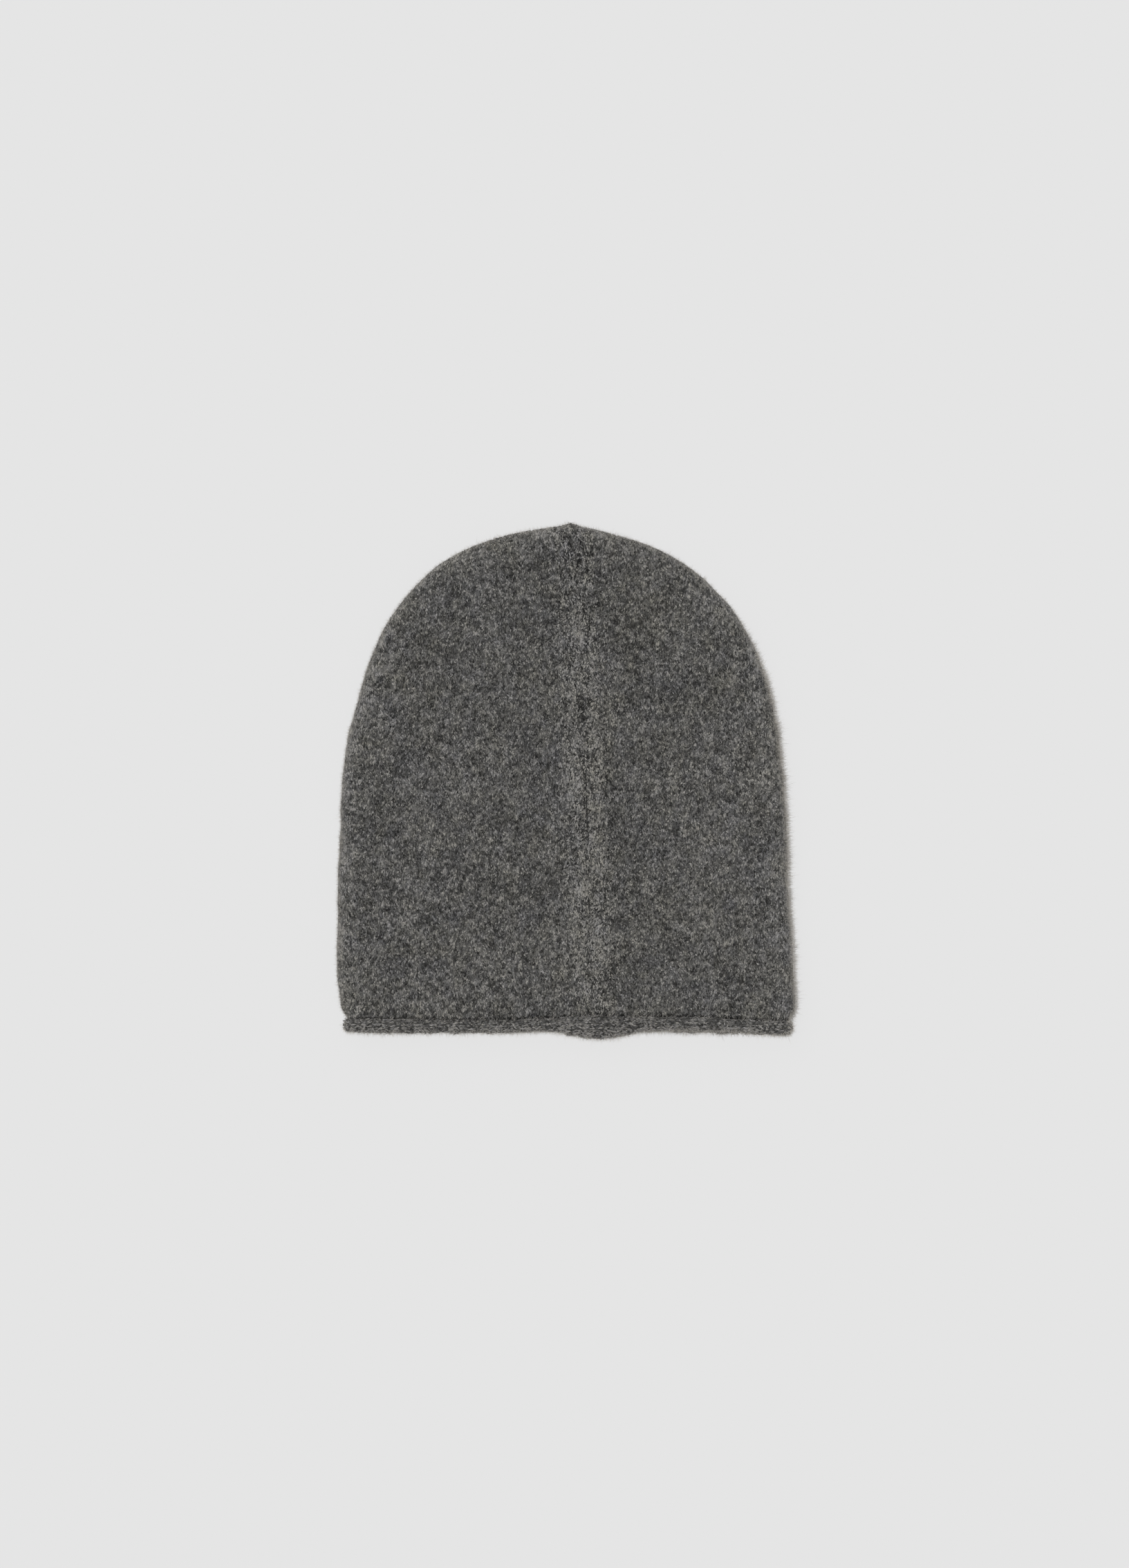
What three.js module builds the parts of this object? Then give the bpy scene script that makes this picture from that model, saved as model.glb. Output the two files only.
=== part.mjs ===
import * as THREE from "three";

// A knit cap with a rolled hem and one seam up the middle of its upper layer, lying flat on a surface.
// Units are millimetres. +X runs across the cap, +Y from its mouth to its tip and +Z up from the surface.
// The origin is on the surface, under the middle of the cap's box.

// Overall sizes
const CAP_WIDTH = 210; // from side fold to side fold, at the widest place
const CAP_LENGTH = 235; // from the lowest point of the hem to the tip

// Cloth, and the hollow between its two layers
const CLOTH = 2;
const HOLLOW = 8; // clear height in the body
const MOUTH_GAP = 6.4; // clear height at the mouth
const MOUTH_LENGTH = 52; // how far the mouth's lift and gap reach into the body
const CLEARANCE = 0.3; // between pieces that touch

// Rolled hem: one turn of cloth that curls outwards and round the crown's rim
const ROLL_CLOTH = 1.7;
const ROLL_FLAT = 1.6; // flat stretch of the roll between its round edges
const ROLL_TURN = THREE.MathUtils.degToRad(264); // how far the cloth curls
const ROLL_THICKNESS = 2 * (CLOTH + CLEARANCE);
const ROLL_HEIGHT = ROLL_THICKNESS + ROLL_FLAT;
const TUCK = 1.2; // how far the crown's rim goes in behind the roll's upper edge

// Seam: a ridge with a groove outside, and a welt of turned-in edges inside
const RIDGE_HEIGHT = 1;
const RIDGE_WIDTH = 22;
const GROOVE_DEPTH = 0.7;
const GROOVE_WIDTH = 2;
const WELT_WIDTH = 8;
const WELT_THICKNESS = 1.5;
const WELT_TAPER = 0.12; // how much narrower its lower face is
const WELT_SHORT = 6; // courses left free between the welt and the tip

// Point at the top, where the seam and the shaping of the crown meet
const POINT_HEIGHT = 1.2;
const POINT_WIDTH = 4;

// How finely the cloth is divided
const COURSES = 28; // rings of cloth from the mouth to the tip
const COURSE_CROWDING = 0.8; // from 0 for even rings to 1 for rings that crowd at the mouth and the tip
const FOLD_STEPS = 4; // columns round each quarter of a side fold
const MIDDLE_STEPS = 5; // columns between the seam's and the fold's
const END_SHARE = 0.45; // most of half a course that the seam's columns take, and the fold's
const ROUND_STEPS = 4; // facets round the roll's lower edge
const CURL_STEPS = 2; // facets round its upper edge
const OUTLINE_STEPS = 200; // short lines that each side of the outline is measured along

// The crown's flat outline. along is a share of its length, from its rim to the tip, and left and right
// are shares of half of CAP_WIDTH.
const OUTLINE = [
  { along: 0, left: 0.948, right: 0.963 },
  { along: 0.01, left: 0.95, right: 0.967 },
  { along: 0.025, left: 0.972, right: 0.992 },
  { along: 0.069, left: 0.989, right: 1 },
  { along: 0.136, left: 1, right: 0.993 },
  { along: 0.276, left: 0.992, right: 0.975 },
  { along: 0.421, left: 0.983, right: 0.961 },
  { along: 0.524, left: 0.968, right: 0.944 },
  { along: 0.596, left: 0.938, right: 0.925 },
  { along: 0.669, left: 0.897, right: 0.893 },
  { along: 0.741, left: 0.838, right: 0.836 },
  { along: 0.803, left: 0.772, right: 0.755 },
  { along: 0.865, left: 0.674, right: 0.65 },
  { along: 0.917, left: 0.553, right: 0.519 },
  { along: 0.953, left: 0.415, right: 0.378 },
  { along: 0.979, left: 0.245, right: 0.21 },
];
const TIP = { along: 1, across: 0.021 };

// Where the seam lies: across is a share of half of CAP_WIDTH from the middle, positive to the right.
const SEAM = [
  { along: 0, across: 0.122 },
  { along: 0.245, across: 0.102 },
  { along: 0.503, across: 0.08 },
  { along: 0.762, across: 0.063 },
  { along: 0.933, across: 0.04 },
  { along: TIP.along, across: TIP.across },
];

// The hem's two edges on the upper layer, in shares of ROLL_HEIGHT: rise is how far its upper edge lies
// above the plain roll's, and drop how far its lower edge lies below. The seam makes the bulge.
const HEM = [
  { across: -1, rise: -0.05, drop: -0.1 },
  { across: -0.78, rise: 0, drop: 0.08 },
  { across: -0.39, rise: -0.1, drop: 0.05 },
  { across: -0.15, rise: 0, drop: -0.03 },
  { across: -0.04, rise: 0.1, drop: -0.05 },
  { across: 0.03, rise: 0.2, drop: 0.24 },
  { across: 0.13, rise: 0.28, drop: 0.46 },
  { across: 0.23, rise: 0.2, drop: 0.28 },
  { across: 0.33, rise: 0.15, drop: -0.05 },
  { across: 0.54, rise: 0.15, drop: -0.12 },
  { across: 0.74, rise: 0, drop: -0.03 },
  { across: 0.87, rise: -0.15, drop: 0.17 },
  { across: 1, rise: -0.2, drop: 0.22 },
];

// Soft swells and hollows of the upper layer. Places and sizes are shares of half of CAP_WIDTH and of
// the crown's length, and lift is a share of HOLLOW.
const SWELLS = [
  { across: -0.48, along: 0.3, wide: 0.34, long: 0.2, lift: -0.1 },
  { across: 0.55, along: 0.38, wide: 0.3, long: 0.22, lift: -0.09 },
  { across: -0.3, along: 0.68, wide: 0.36, long: 0.14, lift: 0.06 },
  { across: 0.42, along: 0.76, wide: 0.3, long: 0.12, lift: -0.06 },
  { across: -0.82, along: 0.52, wide: 0.12, long: 0.05, lift: 0.07 },
];

// Heights above the lowest point of the hem, which is the bottom of its bulge
const ROLL_TOP = ROLL_HEIGHT * (1 + Math.max(...HEM.map((row) => row.drop)));
const RIM = ROLL_TOP - TUCK;
const CROWN_LENGTH = CAP_LENGTH - RIM - POINT_HEIGHT;

const HALF_WIDTH = CAP_WIDTH / 2;
const UPPER = 1;
const LOWER = -1;

const yAt = (along) => RIM + along * CROWN_LENGTH;
const alongAt = (y) => (y - RIM) / CROWN_LENGTH;
const bell = (distance, width) => Math.exp(-((distance / width) ** 2));

// A column of a table at a place between its rows, on a smooth curve through them.
function tableAt(rows, key, place, column) {
  const last = rows.length - 1;
  const ahead = rows.findIndex((row) => row[key] >= place);
  const i = ahead < 0 ? last - 1 : Math.max(ahead - 1, 0);
  const [a, b] = [rows[i], rows[i + 1]];
  const slope = (j, k) => (rows[k][column] - rows[j][column]) / (rows[k][key] - rows[j][key]);
  const span = b[key] - a[key];
  const t = THREE.MathUtils.clamp((place - a[key]) / span, 0, 1);
  const start = slope(Math.max(i - 1, 0), i + 1) * span;
  const end = slope(i, Math.min(i + 2, last)) * span;
  const bend = (2 * t - 3) * t * t;
  return (
    (1 + bend) * a[column] -
    bend * b[column] +
    ((t - 2) * t + 1) * t * start +
    (t - 1) * t * t * end
  );
}

const seamAcross = (y) => HALF_WIDTH * tableAt(SEAM, "along", alongAt(y), "across");

// The hem's rise or drop at x. The lower layer's hem runs straight between the side folds.
function hemShift(layer, x, column) {
  const across = THREE.MathUtils.clamp(x / HALF_WIDTH, -1, 1);
  const share =
    layer === UPPER
      ? tableAt(HEM, "across", across, column)
      : THREE.MathUtils.lerp(HEM[0][column], HEM.at(-1)[column], (across + 1) / 2);
  return ROLL_HEIGHT * share;
}

// One side of the outline, moved inwards by inset. side is -1 for left and 1 for right.
function outlineSide(side, inset) {
  const tip = new THREE.Vector3(TIP.across * HALF_WIDTH, yAt(TIP.along), 0);
  const places = OUTLINE.map((row) => {
    const share = side < 0 ? row.left : row.right;
    return new THREE.Vector3(side * share * HALF_WIDTH, yAt(row.along), 0);
  });
  const outer = new THREE.CatmullRomCurve3([...places, tip]);
  const moved = places.map((place, i) => {
    const tangent = outer.getTangent(i / places.length);
    const inwards = new THREE.Vector3(-side * tangent.y, side * tangent.x, 0);
    const shifted = place.clone().addScaledVector(inwards, inset);
    return i ? shifted : shifted.setY(place.y);
  });
  return new THREE.CatmullRomCurve3([...moved, tip.clone().setY(tip.y - inset)]);
}

// The whole outline: its sides, and how far a place lies in from the nearest point of it.
function makeOutline(inset) {
  const left = outlineSide(-1, inset);
  const right = outlineSide(1, inset);
  const points = [
    ...left.getPoints(OUTLINE_STEPS),
    ...right.getPoints(OUTLINE_STEPS).reverse().slice(1),
  ];
  const segments = points.slice(1).map((end, i) => new THREE.Line3(points[i], end));
  const nearest = new THREE.Vector3();
  const edgeDistance = (place) =>
    Math.min(
      ...segments.map((segment) =>
        segment.closestPointToPoint(place, true, nearest).distanceTo(place),
      ),
    );
  return { left, right, edgeDistance };
}

// 1 at the mouth's rim and 0 past MOUTH_LENGTH.
const nearMouth = (y) => 1 - THREE.MathUtils.smoothstep(y - ROLL_TOP, 0, MOUTH_LENGTH);

const hollowHalf = (y) => THREE.MathUtils.lerp(HOLLOW, MOUTH_GAP, nearMouth(y)) / 2;

// Height of the side folds' middle. The roll under the lower layer lifts the mouth off the surface.
const foldHeight = (y) => (ROLL_THICKNESS - CLOTH) * nearMouth(y) + CLOTH + hollowHalf(y);

// A quarter circle: 0 at the outline and 1 where the layer is past its fold.
const foldShape = (share) => Math.sqrt(1 - (1 - Math.min(share, 1)) ** 2);

// How far the upper layer stands above its plain height.
function relief(x, y) {
  const ridge = RIDGE_HEIGHT * bell(x - seamAcross(y), RIDGE_WIDTH / 2);
  const swells = SWELLS.map(
    (swell) =>
      swell.lift *
      HOLLOW *
      bell(x / HALF_WIDTH - swell.across, swell.wide) *
      bell(alongAt(y) - swell.along, swell.long),
  );
  return swells.reduce((sum, lift) => sum + lift, ridge);
}

// Height of one face of a layer. thickness is CLOTH on the outer faces and 0 on the inner ones.
function layerHeight(layer, place, edge, thickness) {
  const reach = hollowHalf(place.y) + thickness;
  const lift = layer === UPPER ? relief(place.x, place.y) : 0;
  return foldHeight(place.y) + foldShape(edge / reach) * (layer * reach + lift);
}

// Places along half a course, as distances from the seam: close together at the seam and in the fold.
function halfCourse(length, foldRun) {
  const seamColumns = [GROOVE_WIDTH / 2, WELT_WIDTH / 2, RIDGE_WIDTH / 2, RIDGE_WIDTH];
  const seamRun = Math.min(seamColumns.at(-1), END_SHARE * length);
  const nearSeam = seamColumns.map((distance) => (distance * seamRun) / seamColumns.at(-1));
  const foldStart = length - Math.min(foldRun, END_SHARE * length);
  const middle = Array.from({ length: MIDDLE_STEPS - 1 }, (_, i) =>
    THREE.MathUtils.lerp(seamRun, foldStart, (i + 1) / MIDDLE_STEPS),
  );
  const fold = Array.from({ length: FOLD_STEPS + 1 }, (_, i) => {
    const angle = ((1 - i / FOLD_STEPS) * Math.PI) / 2;
    return length - (length - foldStart) * (1 - Math.cos(angle));
  });
  return [...nearSeam, ...middle, ...fold];
}

// The places of one course, from the left fold over the seam to the right fold.
function coursePlaces(outline, share, thickness) {
  const left = outline.left.getPointAt(share);
  const right = outline.right.getPointAt(share);
  const middleY = (left.y + right.y) / 2;
  const seamX = seamAcross(middleY);
  const seamY = THREE.MathUtils.mapLinear(seamX, left.x, right.x, left.y, right.y);
  const seam = new THREE.Vector3(seamX, seamY, 0);
  const half = (side, end) => {
    const length = seam.distanceTo(end);
    const direction = end.clone().sub(seam).normalize();
    const slant = Math.abs(direction.cross(side.getTangentAt(share)).z);
    const foldRun = (hollowHalf(middleY) + thickness) / slant;
    return halfCourse(length, foldRun).map((distance) => seam.clone().lerp(end, distance / length));
  };
  return [...half(outline.left, left).reverse(), seam, ...half(outline.right, right)];
}

// Pulls the outer face up into the small point at the tip.
function pullPoint(place) {
  const distance = Math.hypot(place.x - TIP.across * HALF_WIDTH, place.y - yAt(TIP.along));
  place.y += POINT_HEIGHT * bell(distance, POINT_WIDTH);
}

// One closed ring of a face: the upper layer from left to right, then the lower one back.
function faceRing(outline, share, thickness) {
  const row = coursePlaces(outline, share, thickness);
  const seamColumn = (row.length - 1) / 2;
  const place = (layer, column) => {
    const at = row[column];
    const edge = outline.edgeDistance(at);
    const point = new THREE.Vector3(at.x, at.y, layerHeight(layer, at, edge, thickness));
    if (layer === UPPER && column === seamColumn && thickness)
      point.z -= GROOVE_DEPTH * foldShape(edge / (hollowHalf(at.y) + thickness));
    point.y += hemShift(layer, at.x, "rise") * nearMouth(at.y);
    if (thickness) pullPoint(point);
    return point;
  };
  const columns = row.map((_, column) => column);
  return [
    ...columns.map((column) => place(UPPER, column)),
    ...columns.slice(1, -1).reverse().map((column) => place(LOWER, column)),
  ];
}

// All rings of a face and its closing point at the tip.
function faceRings(outline, thickness) {
  const rings = Array.from({ length: COURSES }, (_, i) => {
    const even = i / COURSES;
    const crowded = even - Math.sin(2 * Math.PI * even) / (2 * Math.PI);
    return faceRing(outline, THREE.MathUtils.lerp(even, crowded, COURSE_CROWDING), thickness);
  });
  const end = outline.left.getPointAt(1);
  const tip = new THREE.Vector3(end.x, end.y, foldHeight(end.y));
  if (thickness) pullPoint(tip);
  return { rings, tip };
}

// Joins two rings of as many points with a band of triangles.
function addBand(faces, first, second, count) {
  for (let i = 0; i < count; i++) {
    const next = (i + 1) % count;
    faces.push([first + i, first + next, second + next]);
    faces.push([first + i, second + next, second + i]);
  }
}

// A mesh of points and triangles, with its faces turned outwards.
function clothMesh(name, points, faces, material) {
  const volume = faces.reduce((sum, [a, b, c]) => {
    const across = new THREE.Vector3().crossVectors(points[b], points[c]);
    return sum + points[a].dot(across);
  }, 0);
  const turned = volume < 0 ? faces.map(([a, b, c]) => [a, c, b]) : faces;
  const geometry = new THREE.BufferGeometry().setFromPoints(points);
  geometry.setIndex(turned.flat());
  geometry.computeVertexNormals();
  const mesh = new THREE.Mesh(geometry, material);
  mesh.name = name;
  return mesh;
}

// The body of the cap: two layers joined by the side folds, open at the mouth.
function makeCrown(outer, inner, material) {
  const count = outer.rings[0].length;
  const points = [...outer.rings.flat(), outer.tip, ...inner.rings.flat(), inner.tip];
  const innerStart = COURSES * count + 1;
  const lastRing = (COURSES - 1) * count;
  const faces = [];
  for (let ring = 0; ring < lastRing; ring += count) {
    addBand(faces, ring, ring + count, count);
    addBand(faces, innerStart + ring + count, innerStart + ring, count);
  }
  for (let i = 0; i < count; i++) {
    const next = (i + 1) % count;
    faces.push([lastRing + i, lastRing + next, lastRing + count]);
    faces.push([innerStart + lastRing + next, innerStart + lastRing + i, points.length - 1]);
  }
  addBand(faces, innerStart, 0, count);
  return clothMesh("crown", points, faces, material);
}

// The roll's section as [along, outwards] pairs: down the inner face, round, and up to the crown again.
function rollSection(height) {
  const half = ROLL_CLOTH / 2;
  const centreOut = ROLL_THICKNESS / 2;
  const radius = centreOut - half;
  const arc = (centreAlong, from, to, steps) =>
    Array.from({ length: steps + 1 }, (_, i) => {
      const angle = THREE.MathUtils.lerp(from, to, i / steps);
      const [sine, cosine] = [Math.sin(angle), Math.cos(angle)];
      return {
        along: centreAlong - radius * sine,
        out: centreOut - radius * cosine,
        normal: [sine, cosine],
      };
    });
  const middle = [
    { along: -TUCK - CLEARANCE, out: half, normal: [0, 1] },
    ...arc(centreOut - height, 0, Math.PI, ROUND_STEPS),
    ...arc(-centreOut, Math.PI, ROLL_TURN, CURL_STEPS),
  ];
  const offset = (side) =>
    middle.map(({ along, out, normal }) => [
      along + side * half * normal[0],
      out + side * half * normal[1],
    ]);
  return [...offset(-1), ...offset(1).reverse()];
}

// The rolled hem, a closed ring whose section stands on the crown's rim.
function makeRolledHem(outer, inner, material) {
  const [outerRim, innerRim] = [outer.rings[0], inner.rings[0]];
  const upperCount = outerRim.length / 2 + 1;
  const sections = outerRim.map((outerPoint, i) => {
    const layer = i < upperCount ? UPPER : LOWER;
    const out = outerPoint.clone().sub(innerRim[i]).setY(0).normalize();
    const middleX = (outerPoint.x + innerRim[i].x) / 2;
    const rise = hemShift(layer, middleX, "rise");
    const height = ROLL_HEIGHT + rise + hemShift(layer, middleX, "drop");
    return rollSection(height).map(([along, outwards]) =>
      innerRim[i].clone().addScaledVector(out, outwards).setY(ROLL_TOP + rise + along),
    );
  });
  const count = sections[0].length;
  const faces = [];
  sections.forEach((_, i) => {
    const next = (i + 1) % sections.length;
    addBand(faces, i * count, next * count, count);
  });
  return clothMesh("rolled_hem", sections.flat(), faces, material);
}

// The seam's turned-in edges: a flat strip under the upper layer, from the rim towards the tip.
function makeSeamWelt(inner, material) {
  const seamColumn = inner.rings[0].length / 4;
  const sections = inner.rings.slice(0, COURSES - WELT_SHORT).map((ring) => {
    const middle = ring[seamColumn];
    const top = [-2, -1, 0, 1, 2].map((step) => {
      const point = ring[seamColumn + step].clone();
      return point.setZ(point.z - CLEARANCE);
    });
    const under = top.map((point) => {
      const narrowed = point.clone().lerp(middle, WELT_TAPER);
      return narrowed.setZ(point.z - WELT_THICKNESS);
    });
    return [...top, ...under.reverse()];
  });
  const count = sections[0].length;
  const last = (sections.length - 1) * count;
  const faces = [];
  for (let ring = 0; ring < last; ring += count) addBand(faces, ring, ring + count, count);
  for (let i = 0; i < count / 2 - 1; i++) {
    const across = count - 1 - i;
    faces.push([i, across, i + 1], [i + 1, across, across - 1]);
    faces.push([last + i, last + i + 1, last + across]);
    faces.push([last + i + 1, last + across - 1, last + across]);
  }
  return clothMesh("seam_welt", sections.flat(), faces, material);
}

// Grey marled wool. The inside and the roll show the looped back of the knit, a shade lighter.
const faceCloth = new THREE.MeshStandardMaterial({ color: 0x575654, roughness: 0.95, metalness: 0 });
const backCloth = new THREE.MeshStandardMaterial({ color: 0x5f5e5b, roughness: 0.97, metalness: 0 });

const outerFace = faceRings(makeOutline(0), CLOTH);
const innerFace = faceRings(makeOutline(CLOTH), 0);

const cap = new THREE.Group();
cap.add(makeCrown(outerFace, innerFace, faceCloth));
cap.add(makeRolledHem(outerFace, innerFace, backCloth));
cap.add(makeSeamWelt(innerFace, backCloth));

// The origin goes under the middle of the box.
const centre = new THREE.Box3().setFromObject(cap).getCenter(new THREE.Vector3());
cap.position.set(-centre.x, -centre.y, 0);

const part = new THREE.Group();
part.add(cap);

export default part;
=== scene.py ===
# A knit cap of brushed marled grey wool with a rolled hem and one seam up its middle, lying flat.
# Lengths are metres. +X runs across the cap, +Y from its mouth to its tip and +Z up from the surface.
import math

import bpy
import numpy as np
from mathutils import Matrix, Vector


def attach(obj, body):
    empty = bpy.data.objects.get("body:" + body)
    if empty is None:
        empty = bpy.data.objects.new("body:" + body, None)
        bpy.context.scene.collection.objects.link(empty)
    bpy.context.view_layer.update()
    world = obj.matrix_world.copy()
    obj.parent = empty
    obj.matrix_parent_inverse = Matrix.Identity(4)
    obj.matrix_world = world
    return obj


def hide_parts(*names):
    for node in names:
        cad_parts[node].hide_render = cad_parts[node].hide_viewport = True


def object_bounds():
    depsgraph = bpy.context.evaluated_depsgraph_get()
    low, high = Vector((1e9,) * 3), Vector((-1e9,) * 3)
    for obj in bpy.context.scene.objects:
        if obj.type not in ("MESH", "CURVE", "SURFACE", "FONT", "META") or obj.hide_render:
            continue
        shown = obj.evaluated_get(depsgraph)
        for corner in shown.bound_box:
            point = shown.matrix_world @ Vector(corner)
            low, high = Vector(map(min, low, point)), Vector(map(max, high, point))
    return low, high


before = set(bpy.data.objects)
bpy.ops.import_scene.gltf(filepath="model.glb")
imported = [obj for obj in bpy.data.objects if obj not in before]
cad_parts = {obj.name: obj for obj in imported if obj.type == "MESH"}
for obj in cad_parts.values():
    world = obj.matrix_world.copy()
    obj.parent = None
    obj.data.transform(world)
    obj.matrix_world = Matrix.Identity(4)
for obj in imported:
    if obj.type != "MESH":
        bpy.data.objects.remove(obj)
cad_low, cad_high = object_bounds()

MM = 0.001
random = np.random.default_rng(7)

# Overall sizes
CAP_WIDTH = 210 * MM
CAP_LENGTH = 235 * MM
HALF_WIDTH = CAP_WIDTH / 2

# Cloth, and the hollow between its two layers
CLOTH = 2 * MM
HOLLOW = 8 * MM
MOUTH_GAP = 6.4 * MM
MOUTH_LENGTH = 52 * MM
CLEARANCE = 0.3 * MM

# Rolled hem
ROLL_CLOTH = 1.7 * MM
ROLL_FLAT = 1.6 * MM
ROLL_TURN = math.radians(264)
ROLL_THICKNESS = 2 * (CLOTH + CLEARANCE)
ROLL_HEIGHT = ROLL_THICKNESS + ROLL_FLAT
TUCK = 1.2 * MM

# Seam and tip
RIDGE_HEIGHT = 1 * MM
RIDGE_WIDTH = 22 * MM
GROOVE_DEPTH = 0.7 * MM
GROOVE_WIDTH = 2 * MM
POINT_HEIGHT = 1.2 * MM
POINT_WIDTH = 4 * MM

# The crown's flat outline: a share of its length from its rim, then shares of the half width to the
# left and to the right
OUTLINE = np.array([
    (0, 0.948, 0.963),
    (0.01, 0.95, 0.967),
    (0.025, 0.972, 0.992),
    (0.069, 0.989, 1),
    (0.136, 1, 0.993),
    (0.276, 0.992, 0.975),
    (0.421, 0.983, 0.961),
    (0.524, 0.968, 0.944),
    (0.596, 0.938, 0.925),
    (0.669, 0.897, 0.893),
    (0.741, 0.838, 0.836),
    (0.803, 0.772, 0.755),
    (0.865, 0.674, 0.65),
    (0.917, 0.553, 0.519),
    (0.953, 0.415, 0.378),
    (0.979, 0.245, 0.21),
])
TIP_ACROSS = 0.021

# Depth of the fuzz round the cloth's edge: deepest to the right, and growing from the rim upwards. The
# cloth bulges out a little at the top.
LEFT_FUZZ, RIGHT_FUZZ, TOP_FUZZ = 0.4 * MM, 1.15 * MM, -0.8 * MM
FUZZ_GROWS = 15 * MM
# The edge wobbles a little, less and less just below the tip: from which share of the crown's length
# there is none, and over which share it fades
WOBBLE, WOBBLE_LENGTH = 0.45 * MM, 7 * MM
WOBBLE_END, WOBBLE_FADE = 0.96, 0.1
# Noise that runs along a line takes one row of its grid, this far off for each side or layer
NOISE_ROW = 40 * MM
# Where the right side starts and how softly, in shares of the half width, and the same for the top in
# shares of the crown's length
RIGHT_START, RIGHT_SOFT = 0.2, 0.6
TOP_START, TOP_SOFT = 0.68, 0.17
POINT_PULL, POINT_PULL_WIDTH = 0.6 * MM, 0.8 * POINT_WIDTH
# The roll's ends are thinner and round, down to a least share of their height
ROLL_END_SQUEEZE = 0.2
ROLL_END_ROUNDING = 3.4 * MM
ROLL_END_LEAST = 0.3
# The hem's lower edge lies inside its fuzz and is uneven
HEM_FUZZ = 0.95 * MM
HEM_UNEVEN, HEM_UNEVEN_LENGTH = 0.45 * MM, 7 * MM

# Where the seam lies: a share of the crown's length and a share of the half width to the right
SEAM = np.array([
    (0, 0.122),
    (0.245, 0.102),
    (0.503, 0.08),
    (0.762, 0.063),
    (0.933, 0.04),
    (1, TIP_ACROSS),
])

# The hem's edges on the upper layer: a share of the half width, then how far the upper edge rises and
# the lower edge drops, in shares of ROLL_HEIGHT
HEM = np.array([
    (-1, -0.05, -0.1),
    (-0.78, 0, 0.08),
    (-0.39, -0.1, 0.05),
    (-0.15, 0, -0.03),
    (-0.04, 0.1, -0.05),
    (0.03, 0.2, 0.24),
    (0.13, 0.28, 0.46),
    (0.23, 0.2, 0.28),
    (0.33, 0.15, -0.05),
    (0.54, 0.15, -0.12),
    (0.74, 0, -0.03),
    (0.87, -0.15, 0.17),
    (1, -0.2, 0.22),
])

# Soft swells of the upper layer: across, along, wide, long and lift, in shares of the half width, the
# crown's length and the hollow
SWELLS = (
    (-0.48, 0.3, 0.34, 0.2, -0.1),
    (0.55, 0.38, 0.3, 0.22, -0.09),
    (-0.3, 0.68, 0.36, 0.14, 0.06),
    (0.42, 0.76, 0.3, 0.12, -0.06),
    (-0.82, 0.52, 0.12, 0.05, 0.07),
)

# Heights above the lowest point of the hem
ROLL_TOP = ROLL_HEIGHT * (1 + HEM[:, 2].max())
RIM = ROLL_TOP - TUCK
CROWN_LENGTH = CAP_LENGTH - RIM - POINT_HEIGHT
UPPER = 1
LOWER = -1

# How finely the crown is divided
ROWS = 216
INNER_ROWS = 28
OUTLINE_STEPS = 24
LAST_ROW_SHARE = 0.997
LAST_INNER_SHARE = 0.98
FOLD_SHARE = 0.45
SLANT_STEP, LEAST_SLANT = 0.002, 0.05
SEAM_CROWDING = 0.55


def smooth_step(value):
    t = np.clip(value, 0, 1)
    return t * t * (3 - 2 * t)


def bell(distance, width):
    return np.exp(-((distance / width) ** 2))


# A smooth curve through a table's rows, at places between them.
def through(knots, values, places):
    slopes = np.empty_like(values)
    slopes[1:-1] = (values[2:] - values[:-2]) / (knots[2:] - knots[:-2])
    slopes[0] = (values[1] - values[0]) / (knots[1] - knots[0])
    slopes[-1] = (values[-1] - values[-2]) / (knots[-1] - knots[-2])
    i = np.clip(np.searchsorted(knots, places) - 1, 0, len(knots) - 2)
    span = knots[i + 1] - knots[i]
    t = np.clip((places - knots[i]) / span, 0, 1)
    bend = (2 * t - 3) * t * t
    start = slopes[i] * span
    end = slopes[i + 1] * span
    return (
        (1 + bend) * values[i]
        - bend * values[i + 1]
        + ((t - 2) * t + 1) * t * start
        + (t - 1) * t * t * end
    )


# A centripetal Catmull-Rom line through points.
def smooth_line(points, steps):
    ends = np.vstack([2 * points[0] - points[1], points, 2 * points[-1] - points[-2]])
    t = np.linspace(0, 1, steps, endpoint=False)[:, None]
    spans = []
    for p0, p1, p2, p3 in zip(ends, ends[1:], ends[2:], ends[3:]):
        d0, d1, d2 = (np.linalg.norm(b - a) ** 0.5 for a, b in ((p0, p1), (p1, p2), (p2, p3)))
        m1 = ((p1 - p0) / d0 - (p2 - p0) / (d0 + d1) + (p2 - p1) / d1) * d1
        m2 = ((p2 - p1) / d1 - (p3 - p1) / (d1 + d2) + (p3 - p2) / d2) * d1
        square = 3 * (p2 - p1) - 2 * m1 - m2
        cube = 2 * (p1 - p2) + m1 + m2
        spans.append(p1 + m1 * t + square * t**2 + cube * t**3)
    return np.vstack([*spans, points[-1]])


# The places at shares of a line's length.
def at_shares(line, shares):
    run = np.concatenate([[0], np.cumsum(np.linalg.norm(np.diff(line, axis=0), axis=1))])
    return np.stack([np.interp(shares * run[-1], run, line[:, axis]) for axis in (0, 1)], 1)


# How far each place lies from a line.
def distance_to(line, places):
    starts, steps = line[:-1], np.diff(line, axis=0)
    squares = (steps**2).sum(1)
    nearest = np.empty(len(places))
    for part in np.array_split(np.arange(len(places)), len(places) // 4000 + 1):
        away = places[part, None] - starts
        t = np.clip((away * steps).sum(2) / squares, 0, 1)
        gap = away - t[..., None] * steps
        nearest[part] = np.sqrt((gap**2).sum(2).min(1))
    return nearest


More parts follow.
